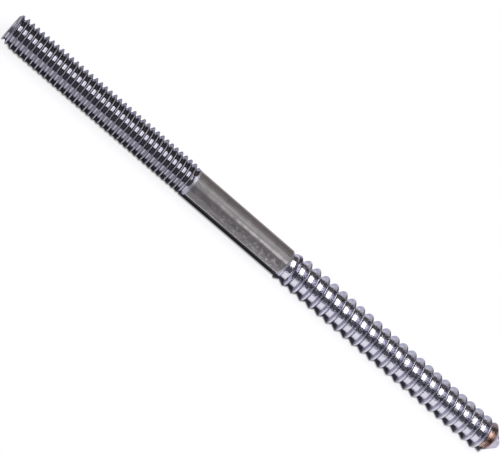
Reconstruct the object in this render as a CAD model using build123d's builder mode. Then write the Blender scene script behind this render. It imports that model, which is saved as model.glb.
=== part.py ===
from build123d import *
import os
from math import ceil, radians, tan

# A hanger bolt: one steel rod with a machine screw thread on one end, a wood screw thread with a
# blunt point on the other, and a plain shank between them. It lies along X with its machine end
# at -X, its point at +X and its lowest crests on the ground plane. All lengths are in millimetres.

# The bolt as a whole
bolt_length = 152.4
machine_thread_length = 53.0
wood_thread_length = 69.7
shank_diameter = 6.95

# Machine end: its fine thread is kept as its major cylinder, with a chamfered sawn end and a run-out
machine_major_diameter = 7.87
machine_runout_length = 1.4
end_face_diameter = 7.0
end_chamfer_length = 0.6

# Wood thread, nine turns to the inch, with a sharp crest and wide flat roots
wood_major_diameter = 8.4
wood_pitch = 2.8222
wood_depth_share = 0.385
wood_flank_angle = 30.0
wood_first_crest = 1.9
wood_runin_length = 3.4
shank_chamfer_length = 0.6

# Blunt point: the core narrows to a small flat, and the crest comes down to it more steeply
point_length = 3.7
point_flat_diameter = 1.8

# The ridge is sunk into the core by a share of its pitch, and runs past both ends by whole turns
ridge_sink_share = 0.02
ridge_overrun_turns = 3
core_overrun_turns = 5
crest_clearance = 0.1
shank_overlap = 0.2

# Radii and stations along X that follow from the sizes above
machine_radius = machine_major_diameter / 2
wood_radius = wood_major_diameter / 2
wood_root_radius = wood_radius - wood_depth_share * wood_pitch
wood_clear_radius = wood_radius + crest_clearance
shank_radius = shank_diameter / 2
end_face_radius = end_face_diameter / 2
point_flat_radius = point_flat_diameter / 2

machine_end = -bolt_length / 2
point_end = bolt_length / 2
point_start = point_end - point_length
shank_start = machine_end + machine_thread_length
shank_end = point_end - wood_thread_length
plain_end = shank_end - shank_chamfer_length

axis_height = max(machine_radius, wood_radius)
bolt_direction = (1, 0, 0)
upward = (0, 0, 1)
bolt_axis = Axis((0, 0, axis_height), bolt_direction)
profile_plane = Plane((0, 0, axis_height), x_dir=bolt_direction, z_dir=(0, -1, 0))


def turned(*corners):
    """Solid of revolution about the bolt's axis, from the (station, radius) corners of its outside."""
    first_station = corners[0][0]
    last_station = corners[-1][0]
    with BuildPart() as body:
        with BuildSketch(profile_plane):
            with BuildLine():
                Polyline((first_station, 0), *corners, (last_station, 0), close=True)
            make_face()
        revolve(axis=bolt_axis)
    return body.part


# One right-hand turn of the wood thread's ridge, from crest to foot, starting on top of the bolt
ridge_start = shank_end + wood_first_crest - ridge_overrun_turns * wood_pitch
ridge_turns = ceil((point_end - ridge_start) / wood_pitch) + ridge_overrun_turns
turn_places = [Location((turn * wood_pitch, 0, 0)) for turn in range(ridge_turns)]
sunk_radius = wood_root_radius - ridge_sink_share * wood_pitch
foot_half = (wood_radius - sunk_radius) * tan(radians(wood_flank_angle))
foot_radius = point_flat_radius / 2
turn_centre = Vector(ridge_start, 0, axis_height)
with BuildPart() as ridge_turn:
    with BuildLine():
        Helix(wood_pitch, wood_pitch, wood_root_radius, turn_centre, bolt_direction)
    with BuildSketch(Plane(turn_centre, x_dir=upward, z_dir=(0, 1, 0))):
        with BuildLine():
            Polyline(
                (foot_radius, -foot_half),
                (sunk_radius, -foot_half),
                (wood_radius, 0),
                (sunk_radius, foot_half),
                (foot_radius, foot_half),
                close=True,
            )
        make_face()
    sweep(is_frenet=True)


def threaded(core, envelope):
    """A core with the wood thread's ridge wound round it, cut off where the envelope ends."""
    with BuildPart() as thread:
        add(core)
        with Locations(*turn_places):
            add(ridge_turn.part)
        add(envelope, mode=Mode.INTERSECT)
    return thread.part


# The crest grows out of the shank's end, and the point carries its last turn and a half
core_overrun = core_overrun_turns * wood_pitch
wood_thread = threaded(
    turned((shank_end - core_overrun, wood_root_radius), (point_end + core_overrun, wood_root_radius)),
    turned(
        (plain_end, wood_root_radius - shank_overlap),
        (shank_end + wood_runin_length, wood_clear_radius),
        (point_start, wood_clear_radius),
    ),
)
point = threaded(
    turned((point_start, wood_root_radius), (point_end, point_flat_radius)),
    turned((point_start, wood_clear_radius), (point_end, point_flat_radius)),
)

# The machine end and the plain shank are turned in one, with a bevel that runs on into the wood core
bevel_slope = (shank_radius - wood_root_radius) / shank_chamfer_length
shank = turned(
    (machine_end, end_face_radius),
    (machine_end + end_chamfer_length, machine_radius),
    (shank_start - machine_runout_length, machine_radius),
    (shank_start, shank_radius),
    (plain_end, shank_radius),
    (shank_end + shank_overlap, wood_root_radius - shank_overlap * bevel_slope),
)

with BuildPart() as hanger_bolt:
    add(shank)
    add(wood_thread)
    add(point)

hanger_bolt.part.label = "hanger_bolt"
os.makedirs("parts", exist_ok=True)
export_step(hanger_bolt.part, "parts/hanger_bolt.step")
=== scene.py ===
"""Dressed model of a hanger bolt: a steel rod with a machine thread, a plain shank and a wood thread."""

import logging
from dataclasses import dataclass, fields
from enum import Enum
from math import cos, pi, radians, sin, tan
from typing import Any, Union

import bmesh
import bpy
from mathutils import Matrix, Vector


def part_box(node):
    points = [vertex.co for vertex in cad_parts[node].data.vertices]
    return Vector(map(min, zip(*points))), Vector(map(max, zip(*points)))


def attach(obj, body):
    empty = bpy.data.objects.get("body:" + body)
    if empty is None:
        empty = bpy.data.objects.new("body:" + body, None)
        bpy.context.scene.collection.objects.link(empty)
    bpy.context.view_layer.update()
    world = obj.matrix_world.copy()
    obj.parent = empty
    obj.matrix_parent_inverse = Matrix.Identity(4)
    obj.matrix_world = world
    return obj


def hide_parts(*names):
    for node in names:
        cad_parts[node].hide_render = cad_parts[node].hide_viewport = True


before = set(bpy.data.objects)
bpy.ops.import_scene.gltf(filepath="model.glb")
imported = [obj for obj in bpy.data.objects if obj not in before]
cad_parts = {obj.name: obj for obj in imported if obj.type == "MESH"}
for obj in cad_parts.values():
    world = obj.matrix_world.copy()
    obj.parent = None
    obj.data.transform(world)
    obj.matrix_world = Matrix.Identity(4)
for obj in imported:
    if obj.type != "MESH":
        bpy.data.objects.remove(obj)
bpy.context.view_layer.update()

MM = 0.001
NODE = "hanger_bolt"
BODY = "root"
LOG = logging.getLogger("hanger_bolt")

HALF = 0.5
FULL_TURN = 360.0

Colour = tuple[float, float, float]
Span = tuple[float, float]
Feed = Union[float, int, bpy.types.NodeSocket]
Sizes = dict[str, Union[float, int]]
Parts = dict[str, bpy.types.NodeSocket]


class Finish(Enum):
    """The four finishes that the bolt's surface shows."""

    MACHINE = "machine_thread_steel"
    WOOD = "wood_thread_steel"
    DRAWN = "drawn_steel"
    CUT = "cut_steel"


class Desk:
    """Places nodes in a tree and joins them, so that a formula reads as a line of calls."""

    def __init__(self, tree: bpy.types.NodeTree) -> None:
        """Start on an empty tree.

        Args:
            tree: the node tree to fill.
        """
        self.tree = tree
        tree.nodes.clear()

    def feed(self, socket: bpy.types.NodeSocket, value: Any) -> None:
        """Give an input a link or a constant.

        Args:
            socket: the input to set.
            value: another node's output, or a plain value.
        """
        if isinstance(value, bpy.types.NodeSocket):
            self.tree.links.new(value, socket)
        else:
            socket.default_value = value

    def node(self, kind: str, inputs: dict[Any, Any] | None = None, **settings: Any) -> bpy.types.Node:
        """Add a node.

        Args:
            kind: the node's type name.
            inputs: values or links, by the input's name or number.
            settings: properties of the node itself.

        Returns:
            The new node.
        """
        made = self.tree.nodes.new(kind)
        for name, value in settings.items():
            setattr(made, name, value)
        for key, value in (inputs or {}).items():
            self.feed(made.inputs[key], value)
        return made

    def math(self, operation: str, *values: Feed) -> bpy.types.NodeSocket:
        """Add a Math node.

        Args:
            operation: the Math node's operation.
            values: its inputs in order.

        Returns:
            The result.
        """
        return self.node("ShaderNodeMath", dict(enumerate(values)), operation=operation).outputs[0]

    def ramp(self, value: Feed, start: Feed, end: Feed, low: Feed, high: Feed) -> bpy.types.NodeSocket:
        """Carry a value from one range to another, held at both ends.

        Args:
            value: what to carry.
            start: where the first range begins.
            end: where the first range ends.
            low: the result up to start.
            high: the result from end on.

        Returns:
            The result.
        """
        inputs = {"Value": value, "From Min": start, "From Max": end, "To Min": low, "To Max": high}
        return self.node("ShaderNodeMapRange", inputs, clamp=True).outputs["Result"]

    def mix(self, share: Feed, first: Any, second: Any) -> bpy.types.NodeSocket:
        """Mix two colours.

        Args:
            share: how much of the second shows.
            first: a colour or a link.
            second: a colour or a link.

        Returns:
            The mixed colour.
        """
        made = self.node("ShaderNodeMix", data_type="RGBA")
        sockets = [socket for socket in made.inputs if socket.enabled]
        for socket, value in zip(sockets, (share, first, second)):
            self.feed(socket, with_alpha(value) if isinstance(value, tuple) else value)
        return next(socket for socket in made.outputs if socket.enabled)


Layout = tuple[Desk, Parts, bpy.types.Node]


def with_alpha(colour: Colour) -> tuple[float, float, float, float]:
    """Turn a colour into an opaque four-part value.

    Args:
        colour: red, green and blue.

    Returns:
        The colour with an alpha of 1.
    """
    return (*colour, 1.0)


@dataclass(frozen=True)
class Ramp:
    """A rise or fall of a radius between two stations along the bolt."""

    start: float
    end: float
    rise: float


@dataclass(frozen=True)
class WoundThread:
    """One threaded length: a band of one pitch, wound round the axis and held between two stations."""

    near: float
    far: float
    pitch: float
    first_crest: float
    crest_radius: float
    crest_width: float
    core_radius: float
    crest_rounding: float
    root_rounding: float
    core_near: Ramp
    core_far: Ramp
    crest_near: Ramp
    crest_far: Ramp
    near_open: float
    far_open: float
    steps: int

    LEAD_TURNS = 5
    SPARE_TURNS = 4

    def inputs(self) -> Sizes:
        """Every size of this thread, by the name that its input has in the node tree.

        Returns:
            Names and values, with each ramp spread over three inputs.
        """
        values: Sizes = {}
        for field in fields(self):
            value = getattr(self, field.name)
            label = field.name.replace("_", " ")
            if isinstance(value, Ramp):
                values[f"{label} start"] = value.start
                values[f"{label} end"] = value.end
                values[f"{label} rise"] = value.rise
            else:
                values[label] = value
        origin = self.first_crest - self.LEAD_TURNS * self.pitch
        values["origin"] = origin
        values["turns"] = int((self.far - origin) / self.pitch) + self.SPARE_TURNS
        return values


@dataclass
class HangerBolt:
    """The whole bolt, one piece of steel, with its sizes in metres along X from the frame's box."""

    near_end: float
    far_end: float
    axis_height: float

    machine_length: float = 53.0 * MM
    machine_radius: float = 3.935 * MM
    machine_root: float = 3.095 * MM
    machine_pitch: float = 25.4 / 18 * MM
    machine_first_crest: float = 0.894 * MM
    machine_crest_width: float = 0.14 * MM
    machine_crest_rounding: float = 0.09 * MM
    machine_root_rounding: float = 0.3 * MM
    machine_runout: float = 1.4 * MM
    machine_steps: int = 20
    groove_fade: float = 0.8 * MM
    end_face_radius: float = 3.5 * MM
    end_margin: float = 1.0 * MM
    cut_length: float = 0.3 * MM
    crest_lead_in: float = 1.4 * MM

    shank_radius: float = 3.475 * MM
    bevel_length: float = 0.6 * MM
    bevel_margin: float = 0.1 * MM

    wood_length: float = 69.7 * MM
    wood_radius: float = 4.19 * MM
    wood_root: float = 3.1135 * MM
    wood_pitch: float = 25.4 / 9 * MM
    wood_first_crest: float = 1.9 * MM
    wood_crest_width: float = 0.26 * MM
    wood_crest_rounding: float = 0.2 * MM
    wood_root_rounding: float = 0.3 * MM
    wood_runin: float = 3.4 * MM
    wood_steps: int = 28

    point_length: float = 3.7 * MM
    point_flat_radius: float = 0.9 * MM

    flank_angle: float = radians(30)
    around: int = 60
    shank_rows: int = 24
    merge_distance: float = 0.002 * MM
    sliver_length: float = 0.0002 * MM
    crease_angle: float = radians(42)

    def shank_start(self) -> float:
        """Find where the machine thread ends.

        Returns:
            The station along X.
        """
        return self.near_end + self.machine_length

    def shank_end(self) -> float:
        """Find where the wood thread begins.

        Returns:
            The station along X.
        """
        return self.far_end - self.wood_length

    def machine_thread(self) -> WoundThread:
        """Lay out the machine thread, led in at the sawn end and run out against the shank.

        Returns:
            The thread's sizes and ramps.
        """
        start = self.shank_start()
        plain = start + self.bevel_length
        lead_in_end = self.near_end + self.crest_lead_in
        return WoundThread(
            near=self.near_end,
            far=plain + self.bevel_margin,
            pitch=self.machine_pitch,
            first_crest=self.near_end + self.machine_first_crest,
            crest_radius=self.machine_radius,
            crest_width=self.machine_crest_width,
            core_radius=self.machine_root,
            crest_rounding=self.machine_crest_rounding,
            root_rounding=self.machine_root_rounding,
            core_near=Ramp(self.near_end - self.end_margin, self.near_end, 0.0),
            core_far=Ramp(start - self.groove_fade, start, self.shank_radius - self.machine_root),
            crest_near=Ramp(self.near_end, lead_in_end, self.end_face_radius - self.machine_radius),
            crest_far=Ramp(start - self.machine_runout, start, self.shank_radius - self.machine_radius),
            near_open=0.0,
            far_open=1.0,
            steps=self.machine_steps,
        )

    def wood_thread(self) -> WoundThread:
        """Lay out the wood thread, growing out of the shank and brought down to the blunt point.

        Returns:
            The thread's sizes and ramps.
        """
        end = self.shank_end()
        plain = end - self.bevel_length
        point_start = self.far_end - self.point_length
        return WoundThread(
            near=plain - self.bevel_margin,
            far=self.far_end,
            pitch=self.wood_pitch,
            first_crest=end + self.wood_first_crest,
            crest_radius=self.wood_radius,
            crest_width=self.wood_crest_width,
            core_radius=self.wood_root,
            crest_rounding=self.wood_crest_rounding,
            root_rounding=self.wood_root_rounding,
            core_near=Ramp(plain, end, self.shank_radius - self.wood_root),
            core_far=Ramp(point_start, self.far_end, self.point_flat_radius - self.wood_root),
            crest_near=Ramp(plain, end + self.wood_runin, self.wood_root - self.wood_radius),
            crest_far=Ramp(point_start, self.far_end, self.point_flat_radius - self.wood_radius),
            near_open=1.0,
            far_open=0.0,
            steps=self.wood_steps,
        )

    def build(self, finishes: dict[Finish, bpy.types.Material]) -> bpy.types.Object:
        """Make the bolt as one closed mesh.

        Args:
            finishes: the material of each finish.

        Returns:
            The finished object, at the origin.
        """
        shaper = BoltTree(self, finishes)
        carrier = bpy.data.objects.new("bolt_carrier", bpy.data.meshes.new("bolt_carrier"))
        bpy.context.scene.collection.objects.link(carrier)
        modifier = carrier.modifiers.new("bolt", "NODES")
        modifier.node_group = shaper.tree
        for identifier, value in shaper.values.items():
            modifier[identifier] = value
        depsgraph = bpy.context.evaluated_depsgraph_get()
        mesh = bpy.data.meshes.new_from_object(carrier.evaluated_get(depsgraph))
        bpy.data.objects.remove(carrier)
        self.tidy(mesh)
        mesh.name = "bolt"
        bolt = bpy.data.objects.new("bolt", mesh)
        bpy.context.scene.collection.objects.link(bolt)
        return bolt

    def tidy(self, mesh: bpy.types.Mesh) -> None:
        """Close seams, turn the faces outwards and keep true edges crisp.

        Args:
            mesh: the mesh to tidy.
        """
        work = bmesh.new()
        work.from_mesh(mesh)
        bmesh.ops.remove_doubles(work, verts=work.verts, dist=self.merge_distance)
        bmesh.ops.dissolve_degenerate(work, edges=work.edges, dist=self.sliver_length)
        bmesh.ops.recalc_face_normals(work, faces=work.faces)
        open_edges = sum(1 for edge in work.edges if not edge.is_manifold)
        work.to_mesh(mesh)
        work.free()
        mesh.shade_smooth()
        mesh.set_sharp_from_angle(angle=self.crease_angle)
        LOG.info("bolt mesh: %d faces, %d open edges", len(mesh.polygons), open_edges)


class BoltTree:
    """Geometry node trees that wind both threads, turn the shank and join them into one skin."""

    def __init__(self, bolt: HangerBolt, finishes: dict[Finish, bpy.types.Material]) -> None:
        """Build the tree with a named input for every size.

        Args:
            bolt: the sizes.
            finishes: the material of each finish.
        """
        self.bolt = bolt
        self.tree = self.new_tree("Hanger bolt")
        self.values: Sizes = {}
        desk = Desk(self.tree)
        entry = desk.node("NodeGroupInput")
        thread_group = self.thread_tree()
        lengths = []
        for label, thread in (("Machine", bolt.machine_thread()), ("Wood", bolt.wood_thread())):
            sizes = thread.inputs() | self.shared_inputs()
            lengths.append(self.use(desk, entry, thread_group, label, sizes))
        lengths.append(self.use(desk, entry, self.shank_tree(), "Shank", self.shank_inputs()))
        join = desk.node("GeometryNodeJoinGeometry")
        for length in lengths:
            desk.feed(join.inputs[0], length)
        merged = desk.node("GeometryNodeMergeByDistance", {"Geometry": join.outputs[0]})
        merged.inputs["Distance"].default_value = bolt.merge_distance
        skin = desk.node("GeometryNodeRealizeInstances", {"Geometry": merged.outputs[0]}).outputs[0]
        skin = self.dress(desk, skin, finishes)
        desk.node("NodeGroupOutput", {0: skin})

    @staticmethod
    def new_tree(name: str) -> bpy.types.NodeTree:
        """Start a geometry tree with one geometry output.

        Args:
            name: the tree's name.

        Returns:
            The tree.
        """
        tree = bpy.data.node_groups.new(name, "GeometryNodeTree")
        tree.interface.new_socket("Geometry", in_out="OUTPUT", socket_type="NodeSocketGeometry")
        return tree

    @staticmethod
    def add_inputs(tree: bpy.types.NodeTree, sizes: Sizes, prefix: str = "") -> dict[str, str]:
        """Give a tree one named input for each size.

        Args:
            tree: the tree to extend.
            sizes: names and values.
            prefix: words before each name.

        Returns:
            The identifier of each new input, by its size's name.
        """
        identifiers = {}
        for name, value in sizes.items():
            kind = "NodeSocketInt" if isinstance(value, int) else "NodeSocketFloat"
            socket = tree.interface.new_socket(prefix + name, in_out="INPUT", socket_type=kind)
            identifiers[name] = socket.identifier
        return identifiers

    def shared_inputs(self) -> Sizes:
        """List the sizes that both threads share.

        Returns:
            Names and values.
        """
        return {
            "around": self.bolt.around,
            "axis height": self.bolt.axis_height,
            "flank rise": 1 / tan(self.bolt.flank_angle),
        }

    def shank_inputs(self) -> Sizes:
        """List the sizes of the plain shank.

        Returns:
            Names and values.
        """
        return {
            "near": self.bolt.machine_thread().far,
            "far": self.bolt.wood_thread().near,
            "radius": self.bolt.shank_radius,
            "around": self.bolt.around,
            "rows": self.bolt.shank_rows,
            "axis height": self.bolt.axis_height,
        }

    def use(
        self,
        desk: Desk,
        entry: bpy.types.Node,
        group: bpy.types.NodeTree,
        label: str,
        sizes: Sizes,
    ) -> bpy.types.NodeSocket:
        """Place a sub-tree with inputs of its own on the bolt's tree.

        Args:
            desk: the bolt's tree.
            entry: the bolt tree's input node.
            group: the sub-tree.
            label: the word that stands before its inputs' names.
            sizes: names and values.

        Returns:
            The geometry that it makes.
        """
        identifiers = self.add_inputs(self.tree, sizes, f"{label} ")
        made = desk.node("GeometryNodeGroup", node_tree=group, label=label)
        for name, identifier in identifiers.items():
            outlet = next(socket for socket in entry.outputs if socket.identifier == identifier)
            desk.feed(made.inputs[name], outlet)
            self.values[identifier] = sizes[name]
        return made.outputs[0]

    def thread_tree(self) -> bpy.types.NodeTree:
        """A band of one pitch wound round the axis, with its radius worked out at every point.

        Returns:
            The sub-tree.
        """
        tree = self.new_tree("Wound thread")
        self.add_inputs(tree, self.bolt.wood_thread().inputs() | self.shared_inputs())
        desk = Desk(tree)
        size = desk.node("NodeGroupInput").outputs
        rows = desk.math("ADD", desk.math("MULTIPLY", size["turns"], size["around"]), 1)
        columns = desk.math("ADD", size["steps"], 1)
        grid_inputs = {"Size X": 1.0, "Size Y": 1.0, "Vertices X": rows, "Vertices Y": columns}
        grid = desk.node("GeometryNodeMeshGrid", grid_inputs)
        place = desk.node("ShaderNodeSeparateXYZ", {0: desk.node("GeometryNodeInputPosition").outputs[0]})
        turn = desk.math("MULTIPLY", desk.math("ADD", place.outputs["X"], HALF), size["turns"])
        along = desk.math("ADD", turn, place.outputs["Y"])
        free_x = desk.math("MULTIPLY_ADD", along, size["pitch"], size["origin"])
        x = desk.math("MINIMUM", desk.math("MAXIMUM", free_x, size["near"]), size["far"])
        pitches = desk.math("DIVIDE", desk.math("SUBTRACT", x, size["origin"]), size["pitch"])
        phase = desk.math("WRAP", desk.math("SUBTRACT", pitches, turn), HALF, -HALF)
        off_crest = desk.math("MULTIPLY", desk.math("ABSOLUTE", phase), size["pitch"])
        half_land = desk.math("MULTIPLY", size["crest width"], HALF)
        from_land = desk.math("SUBTRACT", half_land, off_crest)
        flank = desk.math("MULTIPLY_ADD", from_land, size["flank rise"], size["crest radius"])
        ridge = desk.math("SMOOTH_MIN", size["crest radius"], flank, size["crest rounding"])
        crest = self.ramped(desk, size, x, "crest", size["crest radius"])
        core = self.ramped(desk, size, x, "core", size["core radius"])
        radius = desk.math("SMOOTH_MAX", core, desk.math("MINIMUM", ridge, crest), size["root rounding"])
        before = desk.math("SUBTRACT", size["near"], size["pitch"])
        beyond = desk.math("ADD", size["far"], size["pitch"])
        near_cap = desk.ramp(free_x, before, size["near"], size["near open"], 1.0)
        far_cap = desk.ramp(free_x, size["far"], beyond, 1.0, size["far open"])
        radius = desk.math("MULTIPLY", desk.math("MULTIPLY", radius, near_cap), far_cap)
        self.wind(desk, grid, x, radius, turn, size["axis height"])
        return tree

    @staticmethod
    def ramped(
        desk: Desk, size: Any, x: bpy.types.NodeSocket, name: str, base: bpy.types.NodeSocket
    ) -> bpy.types.NodeSocket:
        """A radius with its near and far ramps.

        Args:
            desk: the sub-tree.
            size: its inputs.
            x: station along the bolt.
            name: the first word of the ramps' names.
            base: the radius between the ramps.

        Returns:
            The radius at x.
        """
        near_start, near_end, near_rise = (size[f"{name} near {word}"] for word in ("start", "end", "rise"))
        far_start, far_end, far_rise = (size[f"{name} far {word}"] for word in ("start", "end", "rise"))
        near = desk.ramp(x, near_start, near_end, near_rise, 0.0)
        far = desk.ramp(x, far_start, far_end, 0.0, far_rise)
        return desk.math("ADD", base, desk.math("ADD", near, far))

    @staticmethod
    def wind(
        desk: Desk,
        grid: bpy.types.Node,
        x: bpy.types.NodeSocket,
        radius: bpy.types.NodeSocket,
        turn: bpy.types.NodeSocket,
        height: bpy.types.NodeSocket,
    ) -> None:
        """Put a grid's points round the bolt's axis and hand the mesh out.

        Args:
            desk: the sub-tree.
            grid: the flat grid.
            x: station of each point.
            radius: distance of each point from the axis.
            turn: turns about the axis, right-handed and from the top.
            height: height of the axis.
        """
        angle = desk.math("MULTIPLY", turn, 2 * pi)
        aside = desk.math("MULTIPLY", radius, desk.math("MULTIPLY", desk.math("SINE", angle), -1.0))
        above = desk.math("MULTIPLY_ADD", radius, desk.math("COSINE", angle), height)
        point = desk.node("ShaderNodeCombineXYZ", {"X": x, "Y": aside, "Z": above})
        inputs = {"Geometry": grid.outputs["Mesh"], "Position": point.outputs[0]}
        moved = desk.node("GeometryNodeSetPosition", inputs)
        desk.node("NodeGroupOutput", {0: moved.outputs[0]})

    def shank_tree(self) -> bpy.types.NodeTree:
        """The plain shank as a tube between the two threads.

        Returns:
            The sub-tree.
        """
        tree = self.new_tree("Plain shank")
        self.add_inputs(tree, self.shank_inputs())
        desk = Desk(tree)
        size = desk.node("NodeGroupInput").outputs
        columns = desk.math("ADD", size["around"], 1)
        grid_inputs = {"Size X": 1.0, "Size Y": 1.0, "Vertices X": columns, "Vertices Y": size["rows"]}
        grid = desk.node("GeometryNodeMeshGrid", grid_inputs)
        place = desk.node("ShaderNodeSeparateXYZ", {0: desk.node("GeometryNodeInputPosition").outputs[0]})
        turn = desk.math("ADD", place.outputs["X"], HALF)
        x = desk.ramp(place.outputs["Y"], -HALF, HALF, size["near"], size["far"])
        self.wind(desk, grid, x, size["radius"], turn, size["axis height"])
        return tree

    def dress(
        self, desk: Desk, skin: bpy.types.NodeSocket, finishes: dict[Finish, bpy.types.Material]
    ) -> bpy.types.NodeSocket:
        """Give each stretch of the bolt its material.

        Args:
            desk: the bolt's tree.
            skin: the joined mesh.
            finishes: the material of each finish.

        Returns:
            The dressed mesh.
        """
        bolt = self.bolt
        place = desk.node("ShaderNodeSeparateXYZ", {0: desk.node("GeometryNodeInputPosition").outputs[0]})
        x = place.outputs["X"]
        before = bolt.near_end - bolt.end_margin
        beyond = bolt.far_end + bolt.end_margin
        start, end = bolt.shank_start(), bolt.shank_end()
        stretches = (
            (Finish.MACHINE, before, start),
            (Finish.WOOD, end, beyond),
            (Finish.CUT, before, bolt.near_end + bolt.cut_length),
            (Finish.CUT, start, end),
            (Finish.DRAWN, start + bolt.bevel_length, end - bolt.bevel_length),
        )
        for finish, near, far in stretches:
            after = desk.math("GREATER_THAN", x, near)
            inside = desk.math("MULTIPLY", after, desk.math("LESS_THAN", x, far))
            inputs = {"Geometry": skin, "Selection": inside, "Material": finishes[finish]}
            skin = desk.node("GeometryNodeSetMaterial", inputs).outputs[0]
        return skin


class SteelGroups:
    """Shader node groups that more than one of the bolt's finishes uses."""

    PATCH_SHARE = 0.6
    SPECK_SHARE = 0.4
    MOTTLE_SPAN = (0.35, 0.65)
    LAY_SPAN = (0.3, 0.7)

    def __init__(self) -> None:
        """Build each group once."""
        self.mottle = self.mottle_group()
        self.lay = self.lay_group()
        self.height = self.height_group()

    @staticmethod
    def new_group(name: str, inputs: dict[str, float], outputs: tuple[str, ...]) -> bpy.types.NodeTree:
        """Start a shader group with float inputs and outputs.

        Args:
            name: the group's name.
            inputs: names and starting values.
            outputs: names.

        Returns:
            The group.
        """
        tree = bpy.data.node_groups.new(name, "ShaderNodeTree")
        for label, value in inputs.items():
            socket = tree.interface.new_socket(label, in_out="INPUT", socket_type="NodeSocketFloat")
            socket.default_value = value
        for label in outputs:
            tree.interface.new_socket(label, in_out="OUTPUT", socket_type="NodeSocketFloat")
        return tree

    def mottle_group(self) -> bpy.types.NodeTree:
        """Uneven gloss: soft patches with finer specks in them.

        Returns:
            A group with a mask from 0 to 1.
        """
        tree = self.new_group("Mottle", {"Patches": 600.0, "Specks": 5200.0}, ("Mask",))
        desk = Desk(tree)
        size = desk.node("NodeGroupInput").outputs
        place = desk.node("ShaderNodeTexCoord").outputs["Object"]
        broad = desk.node("ShaderNodeTexNoise", {"Vector": place, "Scale": size["Patches"], "Detail": 3.0})
        fine = desk.node("ShaderNodeTexNoise", {"Vector": place, "Scale": size["Specks"], "Detail": 2.0})
        patches = desk.math("MULTIPLY", broad.outputs[0], self.PATCH_SHARE)
        both = desk.math("MULTIPLY_ADD", fine.outputs[0], self.SPECK_SHARE, patches)
        desk.node("NodeGroupOutput", {0: desk.ramp(both, *self.MOTTLE_SPAN, 0.0, 1.0)})
        return tree

    def lay_group(self) -> bpy.types.NodeTree:
        """Marks drawn out along the bolt, as a die leaves them.

        Returns:
            A group with a mask from 0 to 1.
        """
        tree = self.new_group("Drawn lay", {"Along": 30.0, "Across": 3000.0}, ("Mask",))
        desk = Desk(tree)
        size = desk.node("NodeGroupInput").outputs
        place = desk.node("ShaderNodeTexCoord").outputs["Object"]
        scales = {"X": size["Along"], "Y": size["Across"], "Z": size["Across"]}
        stretch = desk.node("ShaderNodeCombineXYZ", scales)
        drawn = desk.node("ShaderNodeVectorMath", {0: place, 1: stretch.outputs[0]}, operation="MULTIPLY")
        marks = desk.node("ShaderNodeTexNoise", {"Vector": drawn.outputs[0], "Scale": 1.0, "Detail": 3.0})
        desk.node("NodeGroupOutput", {0: desk.ramp(marks.outputs[0], *self.LAY_SPAN, 0.0, 1.0)})
        return tree

    def height_group(self) -> bpy.types.NodeTree:
        """Height on a thread, from its root at 0 to its crest at 1.

        Returns:
            A group with the height.
        """
        sizes = {"Axis height": 4.0 * MM, "Root": 3.0 * MM, "Crest": 4.0 * MM}
        tree = self.new_group("Thread height", sizes, ("Height",))
        desk = Desk(tree)
        size = desk.node("NodeGroupInput").outputs
        place = desk.node("ShaderNodeSeparateXYZ", {0: desk.node("ShaderNodeTexCoord").outputs["Object"]})
        aside = place.outputs["Y"]
        above = desk.math("SUBTRACT", place.outputs["Z"], size["Axis height"])
        squares = desk.math("MULTIPLY_ADD", aside, aside, desk.math("MULTIPLY", above, above))
        height = desk.ramp(desk.math("SQRT", squares), size["Root"], size["Crest"], 0.0, 1.0)
        desk.node("NodeGroupOutput", {0: height})
        return tree


@dataclass(frozen=True)
class SteelFinish:
    """A bare steel surface with uneven gloss and fine marks."""

    bright: Colour
    dull: Colour
    smooth: float
    rough: float
    lay_along: float
    lay_across: float
    bump_strength: float
    bump_depth: float
    edge: Colour

    LAY_SHARE = 0.5

    def start(self, name: str, groups: SteelGroups) -> Layout:
        """Lay out the part that every steel finish has.

        Args:
            name: the material's name.
            groups: the shared node groups.

        Returns:
            The desk, the masks and colours made so far, and the shader.
        """
        material = bpy.data.materials.new(name)
        material.use_nodes = True
        desk = Desk(material.node_tree)
        shader = desk.node("ShaderNodeBsdfPrincipled", {"Metallic": 1.0})
        shader.inputs["Specular Tint"].default_value = with_alpha(self.edge)
        desk.node("ShaderNodeOutputMaterial", {0: shader.outputs[0]})
        mottle = desk.node("ShaderNodeGroup", node_tree=groups.mottle).outputs[0]
        lay_inputs = {"Along": self.lay_along, "Across": self.lay_across}
        marks = desk.node("ShaderNodeGroup", lay_inputs, node_tree=groups.lay).outputs[0]
        patches = desk.math("MULTIPLY", mottle, 1.0 - self.LAY_SHARE)
        uneven = desk.math("MULTIPLY_ADD", marks, self.LAY_SHARE, patches)
        parts = {
            "mottle": mottle,
            "colour": desk.mix(uneven, self.dull, self.bright),
            "roughness": desk.ramp(uneven, 0.0, 1.0, self.rough, self.smooth),
        }
        bump_inputs = {"Strength": self.bump_strength, "Distance": self.bump_depth, "Height": uneven}
        parts["normal"] = desk.node("ShaderNodeBump", bump_inputs).outputs[0]
        return desk, parts, shader

    @staticmethod
    def close(desk: Desk, parts: Parts, shader: bpy.types.Node) -> None:
        """Join the finished parts to the shader.

        Args:
            desk: the material's tree.
            parts: colour, roughness and normal.
            shader: the shader.
        """
        desk.feed(shader.inputs["Base Color"], parts["colour"])
        desk.feed(shader.inputs["Roughness"], parts["roughness"])
        desk.feed(shader.inputs["Normal"], parts["normal"])

    def material(self, name: str, groups: SteelGroups) -> bpy.types.Material:
        """Make the material.

        Args:
            name: the material's name.
            groups: the shared node groups.

        Returns:
            The material.
        """
        desk, parts, shader = self.start(name, groups)
        self.close(desk, parts, shader)
        return bpy.data.materials[name]


@dataclass(frozen=True)
class GlintStreak:
    """A pale line along the shank, at an angle from its top and with a strength at each end; painted glint
    on a scratch, and in one case a painted reflection line.
    """

    angle: float
    half_width: float
    near_strength: float
    far_strength: float


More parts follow.
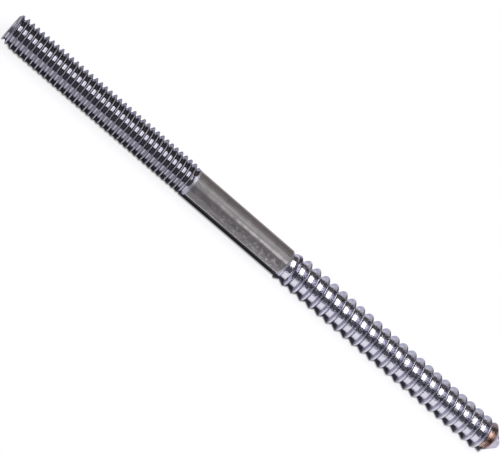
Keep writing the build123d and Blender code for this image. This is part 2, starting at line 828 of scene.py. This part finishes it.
@dataclass(frozen=True)
class DrawnFinish(SteelFinish):
    """Drawn steel under a thin film of oil, with nicks, pale scratch lines with painted glint, a painted
    reflection line, a painted brownish reflection on one side and painted shade over the underside.
    """

    axis_height: float
    near: float
    far: float
    streaks: tuple[GlintStreak, ...]
    # Pale colour of the painted glint lines and of the nicks.
    pale: Colour
    # Colour of the painted brownish reflection on the top and the +Y side.
    haze: Colour
    film: float
    film_roughness: float
    haze_share: float = 0.8
    nick_share: float = 0.6
    # Painted shade: past 99 to 103 degrees from the top, the whole underside turns dark navy. This stands in
    # for the contact shadow that the steel reflects.
    under_start: float = radians(99)
    under_end: float = radians(103)
    under: Colour = (0.03, 0.028, 0.055)
    wander: float = 0.1
    wander_scale: float = 160.0
    break_scale: float = 520.0
    break_span: Span = (0.38, 0.56)
    break_floor: float = 0.45
    nick_scale: float = 1500.0
    nick_span: Span = (0.53, 0.66)
    nick_turn: Span = (0.7, 0.95)
    nick_near_share: float = 0.2
    haze_turn: Span = (-0.5, 0.2)

    def material(self, name: str, groups: SteelGroups) -> bpy.types.Material:
        """Make the material with its marks.

        Args:
            name: the material's name.
            groups: the shared node groups.

        Returns:
            The material.
        """
        desk, parts, shader = self.start(name, groups)
        shader.inputs["Coat Weight"].default_value = self.film
        shader.inputs["Coat Roughness"].default_value = self.film_roughness
        place = desk.node("ShaderNodeTexCoord").outputs["Object"]
        split = desk.node("ShaderNodeSeparateXYZ", {0: place}).outputs
        above = desk.math("SUBTRACT", split["Z"], self.axis_height)
        turn = desk.math("ARCTAN2", desk.math("MULTIPLY", split["Y"], -1.0), above)
        line = desk.node("ShaderNodeCombineXYZ", {"X": split["X"]}).outputs[0]
        slow_inputs = {"Vector": line, "Scale": self.wander_scale, "Detail": 2.0}
        slow = desk.node("ShaderNodeTexNoise", slow_inputs).outputs[0]
        quick_inputs = {"Vector": line, "Scale": self.break_scale, "Detail": 2.0}
        quick = desk.node("ShaderNodeTexNoise", quick_inputs).outputs[0]
        drift = desk.math("MULTIPLY", desk.math("SUBTRACT", slow, HALF), self.wander)
        broken = desk.ramp(quick, *self.break_span, self.break_floor, 1.0)
        marks: Feed = 0.0
        # Pale lines: scratches with their glint painted in, and one painted reflection line.
        for glint_streak in self.streaks:
            offset = desk.math("SUBTRACT", desk.math("ADD", turn, drift), glint_streak.angle)
            ridge = desk.ramp(desk.math("ABSOLUTE", offset), 0.0, glint_streak.half_width, 1.0, 0.0)
            strengths = (glint_streak.near_strength, glint_streak.far_strength)
            strength = desk.ramp(split["X"], self.near, self.far, *strengths)
            mark = desk.math("MULTIPLY", desk.math("MULTIPLY", ridge, strength), broken)
            marks = desk.math("MAXIMUM", marks, mark)
        speck_inputs = {"Vector": place, "Scale": self.nick_scale, "Detail": 1.0}
        specks = desk.node("ShaderNodeTexNoise", speck_inputs).outputs[0]
        nicks = desk.math("MULTIPLY", desk.ramp(specks, *self.nick_span, 0.0, 1.0), self.nick_share)
        towards_wood = desk.ramp(split["X"], self.near, self.far, self.nick_near_share, 1.0)
        nicks = desk.math("MULTIPLY", nicks, towards_wood)
        nicks = desk.math("MULTIPLY", nicks, desk.ramp(turn, *self.nick_turn, 0.0, 1.0))
        # Painted reflection: a brown tint on the top and the +Y side, patchy with the mottle. It stands in
        # for the brownish room that the steel reflects.
        warm = desk.math("MULTIPLY", desk.ramp(turn, *self.haze_turn, self.haze_share, 0.0), parts["mottle"])
        colour = desk.mix(warm, parts["colour"], self.haze)
        # Painted glint lines and nicks, mixed in the pale colour.
        colour = desk.mix(desk.math("MAXIMUM", marks, nicks), colour, self.pale)
        # Painted shade: dark navy over the whole underside.
        painted_underside_shade = desk.ramp(desk.math("ABSOLUTE", turn), self.under_start, self.under_end, 0.0, 1.0)
        parts["colour"] = desk.mix(painted_underside_shade, colour, self.under)
        self.close(desk, parts, shader)
        return bpy.data.materials[name]


@dataclass(frozen=True)
class ThreadFinish(SteelFinish):
    """Rolled thread steel: clean bright roots, darker flanks and rubbed pale crests."""

    axis_height: float
    root_radius: float
    crest_radius: float
    root: Colour
    root_roughness: float
    crest: Colour
    crest_roughness: float
    root_reach: float = 0.22
    crest_reach: float = 0.8

    def start(self, name: str, groups: SteelGroups) -> Layout:
        """Lay out the steel, with its colour and gloss following the height on the thread.

        Args:
            name: the material's name.
            groups: the shared node groups.

        Returns:
            The desk, the masks and colours made so far, and the shader.
        """
        desk, parts, shader = super().start(name, groups)
        sizes = {"Axis height": self.axis_height, "Root": self.root_radius, "Crest": self.crest_radius}
        height = desk.node("ShaderNodeGroup", sizes, node_tree=groups.height).outputs[0]
        parts["height"] = height
        in_root = desk.ramp(height, self.root_reach / 2, self.root_reach, 1.0, 0.0)
        on_crest = desk.ramp(height, self.crest_reach, (1 + self.crest_reach) / 2, 0.0, 1.0)
        parts["colour"] = desk.mix(on_crest, desk.mix(in_root, parts["colour"], self.root), self.crest)
        gloss = desk.math("MULTIPLY", parts["roughness"], desk.math("SUBTRACT", 1.0, in_root))
        gloss = desk.math("MULTIPLY_ADD", in_root, self.root_roughness, gloss)
        gloss = desk.math("MULTIPLY", gloss, desk.math("SUBTRACT", 1.0, on_crest))
        parts["roughness"] = desk.math("MULTIPLY_ADD", on_crest, self.crest_roughness, gloss)
        return desk, parts, shader


@dataclass(frozen=True)
class TipTintThreadFinish(ThreadFinish):
    """Rolled thread steel with brown and copper colour that begins near the point."""

    stain_start: float = 0.0
    stain_end: float = 0.0
    worn_start: float = 0.0
    worn_end: float = 0.0
    stain_share: float = 0.8
    rubbed_from: float = 0.3
    rubbed_share: float = 0.75
    copper: Colour = (0.6, 0.35, 0.23)
    brown: Colour = (0.17, 0.09, 0.06)
    patch_scale: float = 620.0
    stain_span: Span = (0.35, 0.75)
    copper_span: Span = (0.4, 0.62)
    stain_roughness: float = 0.22

    def material(self, name: str, groups: SteelGroups) -> bpy.types.Material:
        """Make the material with its stain.

        Args:
            name: the material's name.
            groups: the shared node groups.

        Returns:
            The material.
        """
        desk, parts, shader = self.start(name, groups)
        place = desk.node("ShaderNodeTexCoord").outputs["Object"]
        x = desk.node("ShaderNodeSeparateXYZ", {0: place}).outputs["X"]
        patch_inputs = {"Vector": place, "Scale": self.patch_scale, "Detail": 4.0}
        patches = desk.node("ShaderNodeTexNoise", patch_inputs).outputs[0]
        # Brown and copper colour that grows towards the point, patchy, and weaker on the crests and over the
        # last 2.2 mm.
        reach = desk.ramp(x, self.stain_start, self.stain_end, 0.0, 1.0)
        reach = desk.math("ADD", reach, desk.math("SUBTRACT", patches, HALF))
        tip_tint = desk.ramp(reach, *self.stain_span, 0.0, 1.0)
        rubbed = desk.ramp(parts["height"], self.rubbed_from, 1.0, 1.0, 1.0 - self.rubbed_share)
        tip_tint = desk.math("MULTIPLY", tip_tint, desk.math("MULTIPLY", rubbed, self.stain_share))
        worn = desk.ramp(x, self.worn_start, self.worn_end, 1.0, 1.0 - self.rubbed_share)
        tip_tint = desk.math("MULTIPLY", tip_tint, worn)
        tip_colour = desk.mix(desk.ramp(patches, *self.copper_span, 0.0, 1.0), self.brown, self.copper)
        parts["colour"] = desk.mix(tip_tint, parts["colour"], tip_colour)
        parts["roughness"] = desk.math("MULTIPLY_ADD", tip_tint, self.stain_roughness, parts["roughness"])
        self.close(desk, parts, shader)
        return bpy.data.materials[name]


def make_finishes(bolt: HangerBolt) -> dict[Finish, bpy.types.Material]:
    """Make the bolt's four materials.

    Args:
        bolt: the sizes that the finishes follow.

    Returns:
        The material of each finish.
    """
    groups = SteelGroups()
    machine = ThreadFinish(
        bright=(0.52, 0.515, 0.57),
        dull=(0.42, 0.415, 0.47),
        smooth=0.1,
        rough=0.19,
        lay_along=900.0,
        lay_across=2400.0,
        bump_strength=0.25,
        bump_depth=0.02 * MM,
        edge=(0.3, 0.32, 0.44),
        axis_height=bolt.axis_height,
        root_radius=bolt.machine_root,
        crest_radius=bolt.machine_radius,
        root=(0.6, 0.59, 0.64),
        root_roughness=0.08,
        crest=(0.68, 0.66, 0.67),
        crest_roughness=0.62,
    )
    wood = TipTintThreadFinish(
        bright=(0.56, 0.555, 0.65),
        dull=(0.43, 0.43, 0.53),
        smooth=0.1,
        rough=0.19,
        lay_along=900.0,
        lay_across=2400.0,
        bump_strength=1.0,
        bump_depth=0.05 * MM,
        edge=(0.64, 0.66, 0.8),
        axis_height=bolt.axis_height,
        root_radius=bolt.wood_root,
        crest_radius=bolt.wood_radius,
        root=(0.78, 0.76, 0.84),
        root_roughness=0.14,
        crest=(0.74, 0.73, 0.77),
        crest_roughness=0.3,
        stain_start=bolt.far_end - 5.9 * MM,
        stain_end=bolt.far_end - 3.6 * MM,
        worn_start=bolt.far_end - 2.9 * MM,
        worn_end=bolt.far_end - 2.2 * MM,
    )
    drawn = DrawnFinish(
        bright=(0.44, 0.41, 0.42),
        dull=(0.31, 0.29, 0.3),
        smooth=0.62,
        rough=0.82,
        lay_along=40.0,
        lay_across=2600.0,
        bump_strength=0.5,
        bump_depth=0.03 * MM,
        edge=(0.5, 0.5, 0.56),
        axis_height=bolt.axis_height,
        near=bolt.shank_start(),
        far=bolt.shank_end(),
        streaks=(
            # Scratch lines with painted glint at 18 and 34.5 degrees. A painted reflection line at 97
            # degrees, just above the painted underside shade.
            GlintStreak(angle=radians(18), half_width=0.09, near_strength=0.3, far_strength=0.0),
            GlintStreak(angle=radians(34.5), half_width=0.14, near_strength=0.25, far_strength=2.0),
            GlintStreak(angle=radians(97), half_width=0.06, near_strength=0.9, far_strength=1.1),
        ),
        pale=(0.96, 0.93, 0.92),
        haze=(0.47, 0.38, 0.32),
        film=0.9,
        film_roughness=0.12,
    )
    cut = SteelFinish(
        bright=(0.72, 0.71, 0.78),
        dull=(0.58, 0.57, 0.64),
        smooth=0.48,
        rough=0.62,
        lay_along=4000.0,
        lay_across=700.0,
        bump_strength=0.3,
        bump_depth=0.02 * MM,
        edge=(0.7, 0.7, 0.76),
    )
    styles = {Finish.MACHINE: machine, Finish.WOOD: wood, Finish.DRAWN: drawn, Finish.CUT: cut}
    return {finish: style.material(finish.value, groups) for finish, style in styles.items()}


@dataclass(frozen=True)
class Studio:
    """Floor, soft light and the room that the steel reflects."""

    bolt: HangerBolt
    floor_size: float = 4.0
    floor_colour: Colour = (0.29, 0.28, 0.33)
    floor_roughness: float = 0.9
    floor_glow: float = 0.87
    shade_length: float = 146.0 * MM
    shade_start: float = 1.4 * MM
    shade_end: float = 2.1 * MM
    mirror_start: float = 3.4 * MM
    mirror_end: float = 5.4 * MM
    mirror_dark: float = 0.07
    mirror_glow: float = 0.76
    wood_clear: float = 1.5 * MM
    shank_reach: float = 0.27 * MM
    machine_reach: float = 0.28 * MM
    machine_lag: float = 0.39
    wood_reach: float = 0.85 * MM
    wood_lag: float = 0.45
    key_station: float = 0.14
    key_height: float = 0.6
    key_width: float = 0.51
    key_length: float = 0.5
    key_watts: float = 2.0
    bands: tuple[tuple[float, Colour], ...] = (
        (-90.0, (0.08, 0.084, 0.105)),
        (90.0, (0.09, 0.078, 0.074)),
    )

    def build(self) -> None:
        """Make the floor, the key light and the world."""
        self.floor()
        self.key_light()
        self.room()

    def floor(self) -> None:
        """Lay a plain pale floor, brightened to white for the eye but not where the bolt's shadow lies."""
        half = self.floor_size / 2
        corners = [(-half, -half, 0), (half, -half, 0), (half, half, 0), (-half, half, 0)]
        mesh = bpy.data.meshes.new("floor")
        mesh.from_pydata(corners, [], [(0, 1, 2, 3)])
        floor = bpy.data.objects.new("floor", mesh)
        bpy.context.scene.collection.objects.link(floor)
        material = bpy.data.materials.new("floor_white")
        material.use_nodes = True
        desk = Desk(material.node_tree)
        path = desk.node("ShaderNodeLightPath").outputs
        mirrored = desk.math("MAXIMUM", path["Is Glossy Ray"], path["Is Transmission Ray"])
        shader = desk.node("ShaderNodeBsdfPrincipled", {"Roughness": self.floor_roughness})
        shader.inputs["Base Color"].default_value = with_alpha(self.floor_colour)
        shader.inputs["Specular IOR Level"].default_value = 0.0
        shader.inputs["Emission Color"].default_value = with_alpha((1.0, 1.0, 1.0))
        place = desk.node("ShaderNodeSeparateXYZ", {0: desk.node("ShaderNodeTexCoord").outputs["Object"]})
        x = place.outputs["X"]
        aside = place.outputs["Y"]
        past_end = desk.math("SUBTRACT", desk.math("ABSOLUTE", x), self.shade_length / 2)
        past_end = desk.math("MAXIMUM", past_end, 0.0)
        squares = desk.math("MULTIPLY_ADD", aside, aside, desk.math("MULTIPLY", past_end, past_end))
        away = desk.math("SQRT", squares)
        # Painted contact shadow: the glow is held back in a band along the bolt, scalloped under each crest.
        # Glossy rays see a wider painted dark band near the bolt, down to mirror_dark.
        shaded = desk.math("SUBTRACT", away, self.crest_shade(desk, x))
        seen_glow = desk.ramp(shaded, self.shade_start, self.shade_end, 0.0, self.floor_glow)
        by_wood = self.between(desk, x, self.bolt.shank_end(), self.bolt.far_end)
        clear = desk.math("MULTIPLY_ADD", by_wood, self.wood_clear, away)
        glow_levels = (self.mirror_dark, self.mirror_glow)
        mirrored_glow = desk.ramp(clear, self.mirror_start, self.mirror_end, *glow_levels)
        glow = desk.math("MULTIPLY", path["Is Camera Ray"], seen_glow)
        glow = desk.math("MULTIPLY_ADD", mirrored, mirrored_glow, glow)
        desk.feed(shader.inputs["Emission Strength"], glow)
        desk.node("ShaderNodeOutputMaterial", {0: shader.outputs[0]})
        mesh.materials.append(material)

    def crest_shade(self, desk: Desk, x: bpy.types.NodeSocket) -> bpy.types.NodeSocket:
        """Work out how much farther the contact shadow reaches under the shank and under each crest.

        Args:
            desk: the floor material's tree.
            x: station along the bolt.

        Returns:
            The added reach.
        """
        bolt = self.bolt
        shank_start, shank_end = bolt.shank_start(), bolt.shank_end()
        reach = desk.math("MULTIPLY", self.between(desk, x, shank_start, shank_end), self.shank_reach)
        stretches = (
            (bolt.machine_thread(), bolt.near_end, shank_start, self.machine_reach, self.machine_lag),
            (bolt.wood_thread(), shank_end, bolt.far_end, self.wood_reach, self.wood_lag),
        )
        for thread, start, end, depth, lag in stretches:
            origin = thread.first_crest + lag * thread.pitch
            turns = desk.math("DIVIDE", desk.math("SUBTRACT", x, origin), thread.pitch)
            off_crest = desk.math("ABSOLUTE", desk.math("WRAP", turns, HALF, -HALF))
            bump = desk.ramp(off_crest, 0.0, HALF, depth, 0.0)
            reach = desk.math("MULTIPLY_ADD", bump, self.between(desk, x, start, end), reach)
        return reach

    @staticmethod
    def between(desk: Desk, x: bpy.types.NodeSocket, start: float, end: float) -> bpy.types.NodeSocket:
        """Mark where a station lies between two others.

        Args:
            desk: the material's tree.
            x: station along the bolt.
            start: the nearer limit.
            end: the farther limit.

        Returns:
            1 between the limits and 0 elsewhere.
        """
        return desk.math("MULTIPLY", desk.math("GREATER_THAN", x, start), desk.math("LESS_THAN", x, end))

    def key_light(self) -> None:
        """Hang one large soft box over the bolt."""
        light = bpy.data.lights.new("key", "AREA")
        light.shape = "RECTANGLE"
        light.size = self.key_length
        light.size_y = self.key_width
        light.energy = self.key_watts
        lamp = bpy.data.objects.new("key", light)
        lamp.location = (self.key_station, 0, self.key_height)
        bpy.context.scene.collection.objects.link(lamp)

    def room(self) -> None:
        """Set a dark room round the bolt, cooler on one side of it and warmer on the other."""
        world = bpy.data.worlds.new("room")
        bpy.context.scene.world = world
        world.use_nodes = True
        desk = Desk(world.node_tree)
        way = desk.node("ShaderNodeSeparateXYZ", {0: desk.node("ShaderNodeTexCoord").outputs["Generated"]})
        angle = desk.math("ARCTAN2", way.outputs["Y"], way.outputs["Z"])
        ramp = desk.node("ShaderNodeValToRGB", {0: desk.ramp(angle, -pi, pi, 0.0, 1.0)})
        for stop, (degrees, colour) in zip(ramp.color_ramp.elements, self.bands):
            stop.position = degrees / FULL_TURN + HALF
            stop.color = with_alpha(colour)
        background = desk.node("ShaderNodeBackground", {"Color": ramp.outputs[0], "Strength": 1.0})
        desk.node("ShaderNodeOutputWorld", {0: background.outputs[0]})


@dataclass(frozen=True)
class CameraRig:
    """The photograph's view: from above, leaning towards the machine end, with the bolt across a corner."""

    image_width: int = 500
    focal_pixels: float = 1550.0
    sensor_width: float = 36.0
    distance: float = 357.65 * MM
    tilt: float = radians(12.81)
    lean: float = radians(38)
    roll: float = radians(40.805)
    target_station: float = -5.42 * MM
    target_aside: float = 0.688 * MM
    target_height: float = 4.2 * MM
    clip_start: float = 10.0 * MM

    def build(self) -> None:
        """Make the camera and use it for the scene."""
        across = Vector((0, cos(self.lean), sin(self.lean)))
        down = Vector((0, sin(self.lean), -cos(self.lean)))
        bolt_way = Vector((1, 0, 0))
        forward = bolt_way * sin(self.tilt) + down * cos(self.tilt)
        along = bolt_way * cos(self.tilt) - down * sin(self.tilt)
        right = along * cos(self.roll) + across * sin(self.roll)
        up = across * cos(self.roll) - along * sin(self.roll)
        target = Vector((self.target_station, 0, self.target_height)) + across * self.target_aside
        place = target - forward * self.distance
        data = bpy.data.cameras.new("camera")
        data.sensor_fit = "HORIZONTAL"
        data.sensor_width = self.sensor_width
        data.lens = self.focal_pixels / self.image_width * self.sensor_width
        data.clip_start = self.clip_start
        camera = bpy.data.objects.new("camera", data)
        axes = Matrix((right, up, -forward)).transposed().to_4x4()
        camera.matrix_world = Matrix.Translation(place) @ axes
        bpy.context.scene.collection.objects.link(camera)
        bpy.context.scene.camera = camera


def main() -> None:
    """Build the bolt, dress it, and set the studio round it."""
    logging.basicConfig(level=logging.INFO, format="%(name)s: %(message)s")
    low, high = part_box(NODE)
    bolt_sizes = HangerBolt(near_end=low.x, far_end=high.x, axis_height=high.z / 2)
    bolt = bolt_sizes.build(make_finishes(bolt_sizes))
    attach(bolt, BODY)
    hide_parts(NODE)
    LOG.info("%s: %d vertices", bolt.name, len(bolt.data.vertices))
    Studio(bolt_sizes).build()
    CameraRig().build()
    bpy.context.scene.view_settings.view_transform = "Standard"


if __name__ == "__main__":
    main()
